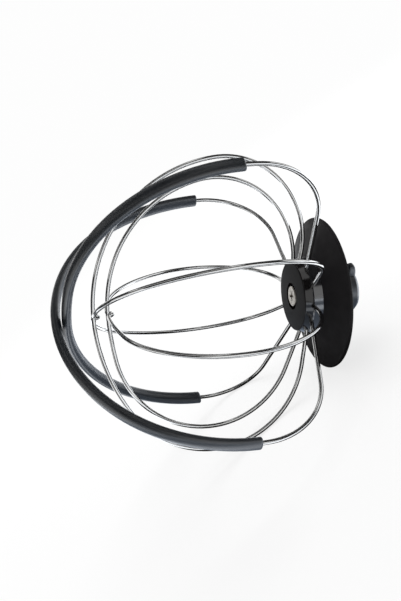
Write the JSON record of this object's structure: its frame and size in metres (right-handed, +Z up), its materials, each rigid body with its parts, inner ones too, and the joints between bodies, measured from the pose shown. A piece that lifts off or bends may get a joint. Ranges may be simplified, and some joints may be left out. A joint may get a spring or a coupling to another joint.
{
  "type": "mixer whisk",
  "caption": "Balloon whisk for a stand mixer: bent wire loops clamped in a round hub with a splash disc and drive stub, the two longest loops inside scraper sleeves.",
  "frame": {"origin": "middle of the surface that the whisk lies on, under the middle of its overall box", "axes": "+Z up, tip towards -X and raised, +X towards the drive stub, -Y the side nearest the viewer"},
  "size_m": [0.1344, 0.1358, 0.1308],
  "materials": {
    "cap_plastic": "fine matt black",
    "hub_plastic": "glossy black",
    "disc_plastic": "fine matt black",
    "screw_steel": "satin stainless",
    "wire_steel": "bright polished stainless",
    "sleeve_plastic": "satin dark grey"
  },
  "bodies": {
    "root": {"front_cap": "cap_plastic", "hub_body": "hub_plastic", "splash_disc": "disc_plastic", "drive_stub": "hub_plastic", "cap_screw": "screw_steel", "side_loop_near": "wire_steel", "side_loop_far": "wire_steel", "locking_loop_near": "wire_steel", "locking_loop_far": "wire_steel", "scraper_wire_inner": "wire_steel", "scraper_wire_outer": "wire_steel", "scraper_sleeve_inner": "sleeve_plastic", "scraper_sleeve_outer": "sleeve_plastic"}
  },
  "joints": []
}
